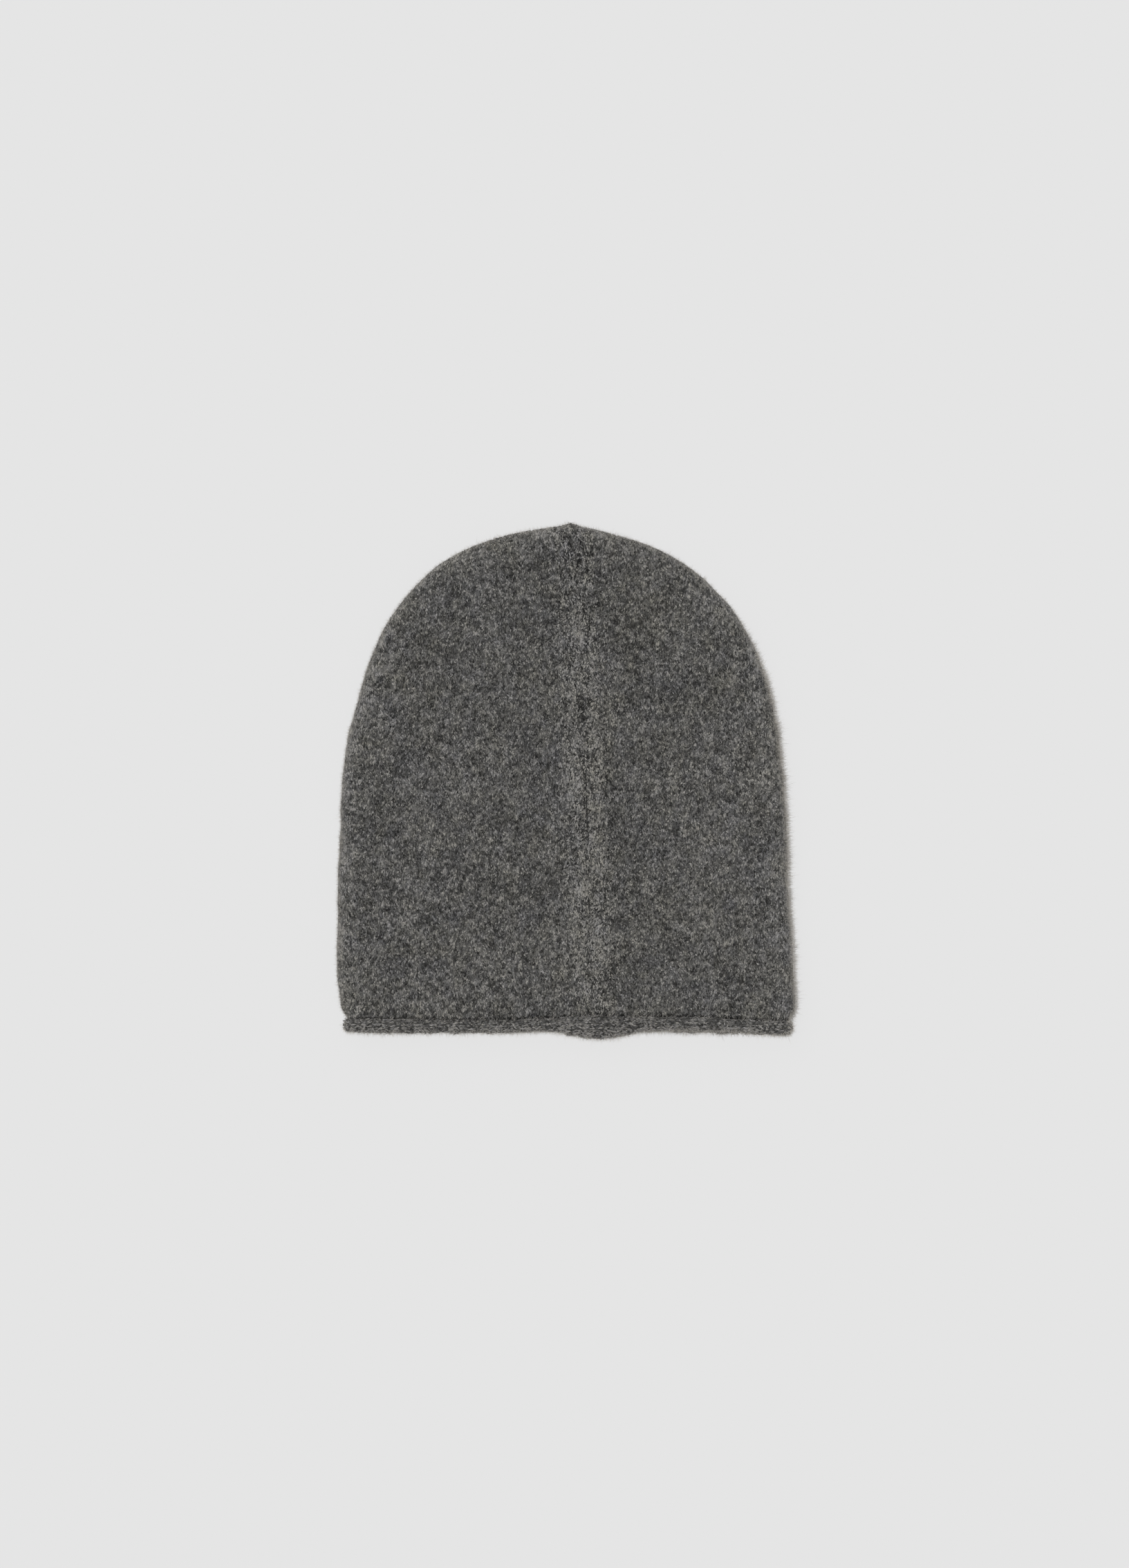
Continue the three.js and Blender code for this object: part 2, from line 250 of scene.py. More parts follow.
# Soft random values from -1 to 1 that change over about size, smooth in both directions.
def soft_noise(x, y, size, seed):
    cells = 256
    grid = np.random.default_rng(seed).uniform(-1, 1, (cells, cells))
    u, v = x / size + cells / 2, y / size + cells / 2
    i, j = np.floor(u).astype(int), np.floor(v).astype(int)
    a, b = smooth_step(u - i), smooth_step(v - j)
    i0, i1, j0, j1 = i % cells, (i + 1) % cells, j % cells, (j + 1) % cells
    low = grid[i0, j0] * (1 - a) + grid[i1, j0] * a
    high = grid[i0, j1] * (1 - a) + grid[i1, j1] * a
    return low * (1 - b) + high * b


def along_of(y):
    return (y - RIM) / CROWN_LENGTH


def seam_x(y):
    return HALF_WIDTH * through(SEAM[:, 0], SEAM[:, 1], along_of(y))


# How far the hem's upper edge rises (column 1) or its lower edge drops (column 2) at x.
def hem_shift(layer, x, column):
    across = np.clip(x / HALF_WIDTH, -1, 1)
    upper = through(HEM[:, 0], HEM[:, column], across)
    lower = HEM[0, column] + (HEM[-1, column] - HEM[0, column]) * (across + 1) / 2
    return ROLL_HEIGHT * np.where(layer == UPPER, upper, lower)


def outline_side(side):
    y = RIM + OUTLINE[:, 0] * CROWN_LENGTH
    x = side * OUTLINE[:, 1 if side < 0 else 2] * HALF_WIDTH
    tip = (TIP_ACROSS * HALF_WIDTH, RIM + CROWN_LENGTH)
    return smooth_line(np.vstack([np.stack([x, y], 1), tip]), OUTLINE_STEPS)


# How far to the right a place lies, and how near the top, from 0 to 1.
def rightness(x):
    return smooth_step((x / HALF_WIDTH - RIGHT_START) / RIGHT_SOFT)


def topness(y):
    return smooth_step((along_of(y) - TOP_START) / TOP_SOFT)


# A side of the outline moved inwards. It keeps the rim's height.
def inset_side(side, line, inset):
    inset = np.broadcast_to(inset, len(line))
    tangent = np.gradient(line, axis=0)
    tangent /= np.linalg.norm(tangent, axis=1)[:, None]
    moved = line + inset[:, None] * np.stack([-side * tangent[:, 1], side * tangent[:, 0]], 1)
    moved[0, 1] = line[0, 1]
    moved[-1] = line[-1] - (0, inset[-1])
    keep = moved[:, 1] < moved[-1, 1]
    keep[-1] = True
    return moved[keep]


# The cloth's own edge: it lies inside the outline by the depth of the fuzz.
def cloth_side(side):
    line = outline_side(side)
    depth = RIGHT_FUZZ if side > 0 else LEFT_FUZZ
    depth = depth + (TOP_FUZZ - depth) * topness(line[:, 1])
    wobble = soft_noise(line[:, 1], np.full(len(line), side * NOISE_ROW), WOBBLE_LENGTH, 24)
    depth = depth + WOBBLE * wobble * smooth_step((WOBBLE_END - along_of(line[:, 1])) / WOBBLE_FADE)
    return inset_side(side, line, depth * smooth_step((line[:, 1] - RIM) / FUZZ_GROWS))


def near_mouth(y):
    return 1 - smooth_step((y - ROLL_TOP) / MOUTH_LENGTH)


def hollow_half(y):
    return (HOLLOW + (MOUTH_GAP - HOLLOW) * near_mouth(y)) / 2


# The height of the side folds' middle. The roll under the lower layer lifts the mouth.
def fold_height(y):
    return (ROLL_THICKNESS - CLOTH) * near_mouth(y) + CLOTH + hollow_half(y)


def fold_shape(share):
    return np.sqrt(1 - (1 - np.minimum(share, 1)) ** 2)


# How far the upper layer stands above its plain height.
def relief(x, y):
    total = RIDGE_HEIGHT * bell(x - seam_x(y), RIDGE_WIDTH / 2)
    for across, along, wide, long, lift in SWELLS:
        total += lift * HOLLOW * bell(x / HALF_WIDTH - across, wide) * bell(along_of(y) - along, long)
    return total


# Places along half a row as shares of its length: even in the middle, by angle round the fold.
def half_row(length, fold_run, middle_steps, fold_steps):
    fold_start = length - min(fold_run, FOLD_SHARE * length)
    t = np.linspace(0, 1, middle_steps, endpoint=False)
    middle = fold_start * (t - SEAM_CROWDING * t * (1 - t) ** 6)
    angle = np.linspace(math.pi / 2, 0, fold_steps + 1)
    fold = length - (length - fold_start) * (1 - np.cos(angle))
    return np.concatenate([middle, fold]) / length


# The flat places of every row of one layer, from the left fold over the seam to the right one.
def layer_places(left_line, right_line, shares, thickness, middle_steps, fold_steps):
    left, right = at_shares(left_line, shares), at_shares(right_line, shares)
    slants = []
    for line in (left_line, right_line):
        above = at_shares(line, np.minimum(shares + SLANT_STEP, 1))
        step = above - at_shares(line, np.maximum(shares - SLANT_STEP, 0))
        slants.append(np.abs(step[:, 1]) / np.linalg.norm(step, axis=1))
    rows = []
    for row, (a, b) in enumerate(zip(left, right)):
        middle_y = (a[1] + b[1]) / 2
        x = seam_x(middle_y)
        seam = np.array([x, a[1] + (b[1] - a[1]) * (x - a[0]) / (b[0] - a[0])])
        reach = hollow_half(middle_y) + thickness
        halves = []
        for end, slant in ((a, slants[0][row]), (b, slants[1][row])):
            length = np.linalg.norm(end - seam)
            shares_out = half_row(length, reach / max(slant, LEAST_SLANT), middle_steps, fold_steps)
            halves.append(seam + (end - seam) * shares_out[:, None])
        rows.append(np.vstack([halves[0][::-1], halves[1][1:]]))
    return np.stack(rows)


# One face of a layer in space, how far round its fold each place is, and its distance from the outline.
# thickness is CLOTH on the outer face and 0 on the inner one.
def layer_points(layer, places, outline, thickness):
    x, y = places[..., 0], places[..., 1]
    edge = distance_to(outline, places.reshape(-1, 2)).reshape(x.shape)
    reach = hollow_half(y) + thickness
    fold = fold_shape(edge / reach)
    lift = relief(x, y) if layer == UPPER else 0 * x
    z = fold_height(y) + fold * (layer * reach + lift)
    y_moved = y + hem_shift(layer, x, 1) * near_mouth(y)
    return np.stack([x, y_moved, z], -1), fold, edge


# Quads between rows of points that each close on themselves.
def ring_faces(rows, columns):
    row, column = np.meshgrid(np.arange(rows - 1), np.arange(columns), indexing="ij")
    after = (column + 1) % columns
    low, high = row * columns, (row + 1) * columns
    return np.stack((low + column, low + after, high + after, high + column), -1).reshape(-1, 4)


def make_mesh(name, points, faces, materials, slots=None, maps=None, values=None):
    mesh = bpy.data.meshes.new(name)
    mesh.vertices.add(len(points))
    mesh.vertices.foreach_set("co", np.ascontiguousarray(points, np.float32).ravel())
    counts = [len(part) * part.shape[1] for part in faces]
    mesh.loops.add(sum(counts))
    corners = np.concatenate([part.ravel() for part in faces]).astype(np.int32)
    mesh.loops.foreach_set("vertex_index", corners)
    widths = np.concatenate([np.full(len(part), part.shape[1]) for part in faces])
    mesh.polygons.add(len(widths))
    starts = np.concatenate([[0], np.cumsum(widths)[:-1]]).astype(np.int32)
    mesh.polygons.foreach_set("loop_start", starts)
    if slots is not None:
        mesh.polygons.foreach_set("material_index", slots.astype(np.int32))
    if maps is not None:
        layer = mesh.uv_layers.new(name="OFBake")
        layer.uv.foreach_set("vector", np.ascontiguousarray(maps[corners], np.float32).ravel())
    for key, value in (values or {}).items():
        attribute = mesh.attributes.new(key, "FLOAT", "POINT")
        attribute.data.foreach_set("value", np.ascontiguousarray(value, np.float32))
    mesh.update(calc_edges=True)
    mesh.validate()
    mesh.shade_smooth()
    for material in materials:
        mesh.materials.append(material)
    piece = bpy.data.objects.new(name, mesh)
    bpy.context.scene.collection.objects.link(piece)
    return piece


def place_in_frame(points):
    return points + (0, cad_low.y, 0)


# Tone of the cloth at a place: soft mottling as (size, gain), lighter fuzz and streaks beside the seam,
# painted light near the folds and painted shade along the crease over the roll.
MOTTLES = (
    (0.8 * MM, 1.2), (1.5 * MM, 0.8), (2.8 * MM, 0.4), (5.5 * MM, 0.18), (12 * MM, 0.09), (34 * MM, 0.18),
)
SEAM_BAND, SEAM_GAIN = 9 * MM, 0.1
STREAK_BAND, STREAK_WIDTH, STREAK_STRETCH, STREAK_GAIN = 10 * MM, 1.3 * MM, 4, 1.05
# Lighter patches on both sides of the seam, the last one a painted highlight on a small fold near the left
# edge: distance from the seam, height over the hem, half width, half height, gain, in mm
SEAM_PATCHES = (
    (-0.4, 184, 1.9, 7, 2.8),
    (-9, 168, 3, 4, 0.9),
    (1, 158, 7, 9, 0.55),
    (4.5, 137, 3.2, 9, 1.2),
    (-4, 134, 4, 10, 0.75),
    (4.6, 108, 3, 13, 1),
    (-5, 112, 3, 12, 0.8),
    (4.2, 80, 3, 10, 0.8),
    (-5, 66, 3.5, 10, 1.25),
    (3.2, 46, 4, 8, 1.5),
    (-6.5, 37, 3, 5, 1),
    (6, 14, 8, 8, 0.5),
    # Painted highlight on a small fold near the left edge
    (-96.5, 130, 1.6, 3, 1.2),
)
# The folds carry painted light: the cloth is paler near their edges, where the bright table lights them from
# beside and behind, the right one more so. It is also a little paler over a broader band towards both folds,
# and the top is a little darker
EDGE_LIGHT_STRIP, EDGE_LIGHT_GAIN = 4 * MM, 0.75
RIGHT_LIGHT_STRIP, RIGHT_LIGHT_GAIN = 3 * MM, 0.9
FOLD_BAND, FOLD_GAIN = 14 * MM, 0.6
TOP_DARKER = 0.035
# Painted shade: the cloth is darker along the crease over the roll, where shade falls
CREASE_SHADE_REACH, CREASE_SHADE_FADE, CREASE_SHADE_GAIN = 1.8 * MM, 1.4 * MM, 2.2
TONE_GAIN = 0.168


def tone_at(x, y, edge):
    tone = sum(gain * soft_noise(x, y, size, 40 + i) for i, (size, gain) in enumerate(MOTTLES))
    off = x - seam_x(y)
    tone = tone + SEAM_GAIN * bell(off, SEAM_BAND)
    for aside, height, wide, tall, gain in SEAM_PATCHES:
        tone = tone + gain * bell(off / MM - aside, wide) * bell(y / MM - height, tall)
    streaks = soft_noise(x, y / STREAK_STRETCH, STREAK_WIDTH, 47)
    tone = tone + STREAK_GAIN * bell(off, STREAK_BAND) * streaks
    # Painted shade along the crease over the roll
    crease = ROLL_TOP + hem_shift(UPPER, x, 1) + CREASE_SHADE_REACH
    tone = tone - CREASE_SHADE_GAIN * smooth_step((crease - y) / CREASE_SHADE_FADE)
    # Painted light near the folds' edges, stronger on the right
    tone = tone + RIGHT_LIGHT_GAIN * rightness(x) * smooth_step(1 - edge / RIGHT_LIGHT_STRIP)
    tone = tone + EDGE_LIGHT_GAIN * smooth_step(1 - edge / EDGE_LIGHT_STRIP)
    return tone + FOLD_GAIN * smooth_step(1 - edge / FOLD_BAND)


# Thin dark lines in the fuzz, each from one end to the other and how dense it is: painted shade in the slit
# below the tip, the crease beside its point and the groove where it lies open, and crossed threads that are
# dark themselves
DARK_LINES = np.array([
    (0.8, 229.3, 2.1, 222.6, 1),
    (1.7, 229.0, 3.0, 222.4, 1),
    (2.6, 234.2, 4.4, 230.3, 0.6),
    (8.7, 121.9, 9.0, 112.4, 0.35),
    (9.0, 112.4, 9.8, 99.9, 0.3),
    (9.8, 99.9, 9.8, 88.5, 0.35),
    (9.2, 14.7, 12.0, 7.5, 0.5),
    (6.3, 155.6, 8.5, 154.1, 0.8),
    (6.4, 149.9, 12.1, 155.3, 1),
    (7.0, 149.2, 12.6, 154.6, 1),
])
LINE_ENDS, LINE_DENSITY = MM * DARK_LINES[:, :4], DARK_LINES[:, 4]
LINE_HALF = 0.22 * MM
LINE_REACH = 0.9 * MM
LINE_SHADE = 0.16


# The distance to the nearest dark line and that line's direction.
def nearest_dark_line(x, y):
    nearest = np.full(x.shape, 1.0)
    way = np.zeros((*x.shape, 3))
    for x0, y0, x1, y1 in LINE_ENDS:
        length = math.hypot(x1 - x0, y1 - y0)
        across, along = (x1 - x0) / length, (y1 - y0) / length
        run = np.clip((x - x0) * across + (y - y0) * along, 0, length)
        gap = np.hypot(x - x0 - run * across, y - y0 - run * along)
        way[gap < nearest] = (across, along, 0)
        nearest = np.minimum(nearest, gap)
    return nearest, way


TINTS = ((2 * MM, 0.7), (5 * MM, 0.6), (15 * MM, 0.5))


def tint_at(x, y):
    return sum(gain * soft_noise(x, y, size, 61 + i) for i, (size, gain) in enumerate(TINTS))


# Materials. Every colour is a linear one.
class Nodes:
    def __init__(self, name):
        self.material = bpy.data.materials.new(name)
        self.material.use_nodes = True
        self.tree = self.material.node_tree
        self.shader = self.tree.nodes["Principled BSDF"]

    def add(self, kind, inputs=None, **settings):
        node = self.tree.nodes.new(kind)
        for key, value in settings.items():
            setattr(node, key, value)
        for key, value in (inputs or {}).items():
            if isinstance(value, bpy.types.NodeSocket):
                self.tree.links.new(value, node.inputs[key])
            else:
                node.inputs[key].default_value = value
        return node

    def math(self, operation, first, second=0.0, third=0.0):
        node = self.add("ShaderNodeMath", {0: first, 1: second, 2: third}, operation=operation)
        return node.outputs[0]

    def ramp(self, factor, stops):
        node = self.add("ShaderNodeValToRGB", {"Fac": factor})
        elements = node.color_ramp.elements
        while len(elements) < len(stops):
            elements.new(0.5)
        for element, (place, colour) in zip(elements, stops):
            element.position = place
            element.color = (*colour, 1)
        return node.outputs["Color"]

    def noise(self, place, size, stretch, detail, roughness):
        scaled = self.add(
            "ShaderNodeMapping", {"Vector": place, "Scale": (1 / size, 1 / (size * stretch), 1 / size)}
        )
        node = self.add(
            "ShaderNodeTexNoise",
            {"Vector": scaled.outputs[0], "Scale": 1.0, "Detail": detail, "Roughness": roughness},
        )
        return node.outputs["Fac"]


WOOL_ROUGHNESS = 0.95
WOOL_SPECULAR = 0.1
SHEEN_WEIGHT = 0.15
SHEEN_ROUGHNESS = 0.5
SHEEN_TINT = (0.9, 0.88, 0.84, 1)


def finish_wool(nodes, colour, height=None, depth=0.0):
    nodes.tree.links.new(colour, nodes.shader.inputs["Base Color"])
    nodes.shader.inputs["Roughness"].default_value = WOOL_ROUGHNESS
    nodes.shader.inputs["Specular IOR Level"].default_value = WOOL_SPECULAR
    nodes.shader.inputs["Sheen Weight"].default_value = SHEEN_WEIGHT
    nodes.shader.inputs["Sheen Roughness"].default_value = SHEEN_ROUGHNESS
    nodes.shader.inputs["Sheen Tint"].default_value = SHEEN_TINT
    if height is not None:
        bump = nodes.add("ShaderNodeBump", {"Height": height, "Strength": 1.0, "Distance": depth})
        nodes.tree.links.new(bump.outputs[0], nodes.shader.inputs["Normal"])
    return nodes.material


# The wool's colours from its darkest shade, 0, to its palest, 1
WOOL_STOPS = (
    (0.0, (0.012, 0.012, 0.012)),
    (0.25, (0.037, 0.0365, 0.035)),
    (0.45, (0.08, 0.079, 0.0765)),
    (0.7, (0.175, 0.172, 0.164)),
    (1.0, (0.375, 0.363, 0.34)),
)
# Single fibres are far paler than the cloth that they make, and the fringe's palest shades are also painted
# light, for light shining through it from behind
PALE_STOPS = ((0.0, (0.2, 0.19, 0.175)), (1.0, (0.9, 0.86, 0.79)))
WARM = (1.04, 1.02, 0.93, 1)
COOL = (0.97, 0.98, 1.06, 1)


def socket_of(sockets, name, kind):
    return next(s for s in sockets if s.name == name and s.type == kind)


# The colour made warmer or cooler: cool where the tint is 0 and warm where it is 1.
def tinted(nodes, colour, tint):
    mix = nodes.add("ShaderNodeMix", data_type="RGBA")
    nodes.tree.links.new(tint, mix.inputs["Factor"])
    socket_of(mix.inputs, "A", "RGBA").default_value = COOL
    socket_of(mix.inputs, "B", "RGBA").default_value = WARM
    product = nodes.add("ShaderNodeMix", data_type="RGBA", blend_type="MULTIPLY")
    socket_of(product.inputs, "Factor", "VALUE").default_value = 1.0
    nodes.tree.links.new(colour, socket_of(product.inputs, "A", "RGBA"))
    shade = socket_of(mix.outputs, "Result", "RGBA")
    nodes.tree.links.new(shade, socket_of(product.inputs, "B", "RGBA"))
    return socket_of(product.outputs, "Result", "RGBA")


# The cloth under the loose fibres: fine streaks along the wales over the mottled tone, which also holds
# painted light near the folds and painted shade at the crease.
def cloth_material(name, level):
    nodes = Nodes(name)
    place = nodes.add("ShaderNodeTexCoord").outputs["Object"]
    streaks = nodes.noise(place, 0.42 * MM, 2.0, 3.0, 0.65)
    grain = nodes.noise(place, 0.22 * MM, 1.3, 1.0, 0.5)
    tone = nodes.add("ShaderNodeAttribute", attribute_name="tone").outputs["Fac"]
    fine = nodes.math("MULTIPLY_ADD", nodes.math("SUBTRACT", streaks, 0.5), 1.5, level)
    finer = nodes.math("MULTIPLY_ADD", nodes.math("SUBTRACT", grain, 0.5), 0.35, fine)
    shade = nodes.math("MULTIPLY_ADD", tone, TONE_GAIN, finer)
    colour = nodes.ramp(shade, WOOL_STOPS)
    tint = nodes.noise(place, 1.3 * MM, 1.5, 1.0, 0.5)
    return finish_wool(nodes, tinted(nodes, colour, tint), streaks, 0.35 * MM)


# Loose fibres: the map's first coordinate is the shade and its second the tint.
def fibre_material(name, stops):
    nodes = Nodes(name)
    place = nodes.add("ShaderNodeUVMap", uv_map="OFBake").outputs["UV"]
    split = nodes.add("ShaderNodeSeparateXYZ", {"Vector": place})
    colour = nodes.ramp(split.outputs["X"], stops)
    return finish_wool(nodes, tinted(nodes, colour, split.outputs["Y"]))


# The roll's looped back: painted shade makes it darker between its loops, and it is lighter on their tops.
LOOP_SHADE_CONTRAST = 0.65


def loop_material(name, level):
    nodes = Nodes(name)
    place = nodes.add("ShaderNodeTexCoord").outputs["Object"]
    streaks = nodes.noise(place, 0.35 * MM, 0.6, 3.0, 0.65)
    height = nodes.add("ShaderNodeAttribute", attribute_name="height").outputs["Fac"]
    fine = nodes.math("MULTIPLY_ADD", nodes.math("SUBTRACT", streaks, 0.5), 0.9, level)
    # Painted shade between the loops, from their height
    shade = nodes.math("MULTIPLY_ADD", height, LOOP_SHADE_CONTRAST, fine)
    colour = nodes.ramp(shade, WOOL_STOPS)
    tint = nodes.noise(place, 1.3 * MM, 1.0, 1.0, 0.5)
    return finish_wool(nodes, tinted(nodes, colour, tint), streaks, 0.25 * MM)


face_cloth = cloth_material("brushed_face", 0.38)
back_cloth = loop_material("looped_back", 0.28)
fibre_wool = fibre_material("loose_fibres", WOOL_STOPS)
pale_wool = fibre_material("pale_fringe", PALE_STOPS)

# How high the looped back counts where it has no raised loops
PLAIN_HEIGHT, WELT_HEIGHT = 0.3, 0.4

# The crown: outer face, rim and inner face in one closed mesh
UPPER_MIDDLE, UPPER_FOLD = 76, 11
LOWER_MIDDLE, LOWER_FOLD = 24, 8
shares = np.linspace(0, LAST_ROW_SHARE, ROWS)
left_line, right_line = cloth_side(-1), cloth_side(1)
outline = np.vstack([left_line, right_line[::-1][1:]])
inner_left, inner_right = inset_side(-1, left_line, CLOTH), inset_side(1, right_line, CLOTH)
inner_outline = np.vstack([inner_left, inner_right[::-1][1:]])
TIP = left_line[-1]
# Small waves of the upper layer: height and size
BROAD_WAVE, BROAD_WAVE_SIZE = 0.22 * MM, 9 * MM
SMALL_WAVE, SMALL_WAVE_SIZE = 0.16 * MM, 4 * MM


def pull_point(points):
    distance = np.hypot(points[..., 0] - TIP[0], points[..., 1] - TIP[1])
    points[..., 1] += POINT_PULL * bell(distance, POINT_PULL_WIDTH)


def crown_face(lines, line, row_shares, thickness):
    upper = layer_places(*lines, row_shares, thickness, UPPER_MIDDLE, UPPER_FOLD)
    lower = layer_places(*lines, row_shares, thickness, LOWER_MIDDLE, LOWER_FOLD)
    upper_points, upper_fold, upper_edge = layer_points(UPPER, upper, line, thickness)
    lower_points, _, lower_edge = layer_points(LOWER, lower, line, thickness)
    if thickness:
        x, y = upper[..., 0], upper[..., 1]
        off = x - seam_x(y)
        upper_points[..., 2] -= GROOVE_DEPTH * bell(off, GROOVE_WIDTH / 2) * upper_fold
        wave = BROAD_WAVE * soft_noise(x, y, BROAD_WAVE_SIZE, 11)
        wave += SMALL_WAVE * soft_noise(x, y, SMALL_WAVE_SIZE, 12)
        upper_points[..., 2] += wave * upper_fold
        pull_point(upper_points)
        pull_point(lower_points)
    rings = np.concatenate([upper_points, lower_points[:, -2:0:-1]], 1)
    edge = np.concatenate([upper_edge, lower_edge[:, -2:0:-1]], 1)
    return rings, edge


outer_rings, outer_edge = crown_face((left_line, right_line), outline, shares, CLOTH)
inner_shares = np.linspace(0, LAST_INNER_SHARE, INNER_ROWS)
inner_rings, inner_edge = crown_face((inner_left, inner_right), inner_outline, inner_shares, 0)
columns = outer_rings.shape[1]
upper_columns = 2 * (UPPER_MIDDLE + UPPER_FOLD) + 1


# The two faces unrolled on a square map: the upper layer on the left and the lower one on the right.
def unrolled(rings, low_y, high_y):
    steps = np.linalg.norm(np.diff(rings, axis=1, append=rings[:, :1]), axis=2)
    run = np.cumsum(steps, 1) - steps
    middle = run[:, upper_columns // 2][:, None]
    total = steps.sum(1)[:, None]
    off = (run - middle + total / 2) % total - total / 2
    lower = np.arange(rings.shape[1]) >= upper_columns
    back = run - middle - total / 2
    across = np.where(lower, back, off)
    share = (rings[..., 1] - rings[..., 1].min()) / np.ptp(rings[..., 1])
    u = across / (2.3 * CAP_WIDTH) + np.where(lower, 0.75, 0.25)
    return np.stack([u, low_y + (high_y - low_y) * share], -1)


tip_outer = np.array([[TIP[0], TIP[1] + POINT_PULL, fold_height(TIP[1])]])
tip_inner = np.array([[TIP[0], TIP[1] - CLOTH, fold_height(TIP[1])]])
crown_points = np.vstack([outer_rings.reshape(-1, 3), tip_outer, inner_rings.reshape(-1, 3), tip_inner])
outer_faces = ring_faces(ROWS, columns)
inner_start = ROWS * columns + 1
inner_faces = ring_faces(INNER_ROWS, columns)[:, ::-1] + inner_start
step = np.arange(columns)
after = (step + 1) % columns
rim_faces = np.stack([inner_start + step, inner_start + after, after, step], 1)
last_outer = (ROWS - 1) * columns
last_inner = inner_start + (INNER_ROWS - 1) * columns
outer_cap = np.stack([last_outer + step, last_outer + after, np.full(columns, ROWS * columns)], 1)
inner_cap = np.stack([last_inner + after, last_inner + step, np.full(columns, len(crown_points) - 1)], 1)
crown_maps = np.vstack([
    unrolled(outer_rings, 0.01, 0.79).reshape(-1, 2), [[0.25, 0.79]],
    unrolled(inner_rings, 0.81, 0.99).reshape(-1, 2), [[0.25, 0.99]],
])
crown_edge = np.concatenate([outer_edge.ravel(), [0], inner_edge.ravel(), [0]])
crown_tone = tone_at(crown_points[:, 0], crown_points[:, 1], crown_edge)
quads = np.vstack([outer_faces, rim_faces, inner_faces])
caps = np.vstack([outer_cap, inner_cap])
slots = np.concatenate([
    np.zeros(len(outer_faces)), np.ones(len(rim_faces) + len(inner_faces)),
    np.zeros(len(outer_cap)), np.ones(len(inner_cap)),
])
crown = make_mesh(
    "crown_cloth", place_in_frame(crown_points), [quads, caps], [face_cloth, back_cloth], slots,
    crown_maps, {"tone": crown_tone, "height": np.full(len(crown_points), PLAIN_HEIGHT)},
)
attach(crown, "root")
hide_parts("crown")


# The quads turned so that they face out of the closed form they make.
def turned_out(points, quads):
    a, b, c, d = (points[quads[:, k]] for k in range(4))
    volume = (np.cross(a, b) * c).sum() + (np.cross(a, c) * d).sum()
    return quads if volume > 0 else quads[:, ::-1]


# The rolled hem: the cloth's edge curled round the rim, with its looped back out
ROLL_STEPS = {"upper": 640, "fold": 64, "lower": 300}
IN_STEPS, ROUND_STEPS, FLAT_STEPS, CURL_STEPS = 5, 28, 16, 14
HIDDEN_STEPS = 12
LOOP_ACROSS = 2.1 * MM
LOOP_ALONG = 1.35 * MM
LOOP_HEIGHT = 0.65 * MM
LOOP_JITTER = 0.45


# The rim's inner points, the directions out of the hollow, and the layer each belongs to.
def mouth_ring():
    radius = hollow_half(RIM)
    left = left_line[0, 0] + radius + CLOTH
    right = right_line[0, 0] - radius - CLOTH
    quarter = np.linspace(0, math.pi / 2, ROLL_STEPS["fold"], endpoint=False)
    flat_upper = np.linspace(left, right, ROLL_STEPS["upper"], endpoint=False)
    flat_lower = np.linspace(right, left, ROLL_STEPS["lower"], endpoint=False)
    sections = (
        (left, math.pi - quarter),
        (flat_upper, np.full(len(flat_upper), math.pi / 2)),
        (right, math.pi / 2 - quarter),
        (right, -quarter),
        (flat_lower, np.full(len(flat_lower), -math.pi / 2)),
        (left, -math.pi / 2 - quarter),
    )
    centre = np.concatenate([np.broadcast_to(middle, angle.shape) for middle, angle in sections])
    angle = np.concatenate([angle for _, angle in sections])
    out = np.stack([np.cos(angle), 0 * angle, np.sin(angle)], 1)
    layer = np.where(np.arange(len(angle)) < sum(len(a) for _, a in sections[:3]), UPPER, LOWER)
    x = centre + radius * out[:, 0]
    lift = np.where(layer == UPPER, relief(x, RIM), 0)
    z = fold_height(RIM) + out[:, 2] * (radius + lift)
    return np.stack([x, 0 * x, z], 1), out, layer


# The roll's section for one height: places as (along, out), the way each faces, and which are loops.
def roll_section(height):
    half = ROLL_CLOTH / 2
    middle_out = ROLL_THICKNESS / 2
    radius = middle_out - half
    low, high = middle_out - height, -middle_out
    start = -TUCK - CLEARANCE
    down = [(start + t * (low - start), half, 0.0) for t in np.linspace(0, 1, IN_STEPS, False)]
    round_ = [
        (low - radius * math.sin(a), middle_out - radius * math.cos(a), a)
        for a in np.linspace(0, math.pi, ROUND_STEPS, False)
    ]
    outer = middle_out + radius
    up = [(low + t * (high - low), outer, math.pi) for t in np.linspace(0, 1, FLAT_STEPS, False)]
    curl = [
        (high - radius * math.sin(a), middle_out - radius * math.cos(a), a)
        for a in np.linspace(math.pi, ROLL_TURN, CURL_STEPS)
    ]
    shown = np.array(down + round_ + up + curl)
    thin = np.linspace(0, len(shown) - 1, HIDDEN_STEPS).round().astype(int)[::-1]
    hidden = shown[thin]
    end_angle = np.linspace(0, math.pi, 5)[1:-1]
    normal = np.stack([np.sin(shown[:, 2]), np.cos(shown[:, 2])], 1)
    side = shown[:, :2] - half * normal
    back_normal = np.stack([np.sin(hidden[:, 2]), np.cos(hidden[:, 2])], 1)
    back = hidden[:, :2] + half * back_normal
    forward = np.array([-np.cos(ROLL_TURN), np.sin(ROLL_TURN)])
    last = shown[-1, :2]
    tip = np.array([last - half * (np.cos(a) * normal[-1] - np.sin(a) * forward) for a in end_angle])
    places = np.vstack([side, tip, back])
    faces_out = np.vstack([-normal, (tip - last) / half, back_normal])
    return places, faces_out


# Numbers that turn a row and a column into three values from 0 to 1 that look random
HASH_ROW, HASH_COLUMN, HASH_SCALE = 12.9898, 78.233, 43758.5453
HASH_SECOND, HASH_THIRD = 917.31, 311.77
ROW_JITTER = 0.4
LOOP_LEAST, LOOP_VARIES = 0.3, 0.9
LOOP_HALF, ROW_HALF, LOOP_BLUNT = 0.5, 0.56, 0.7


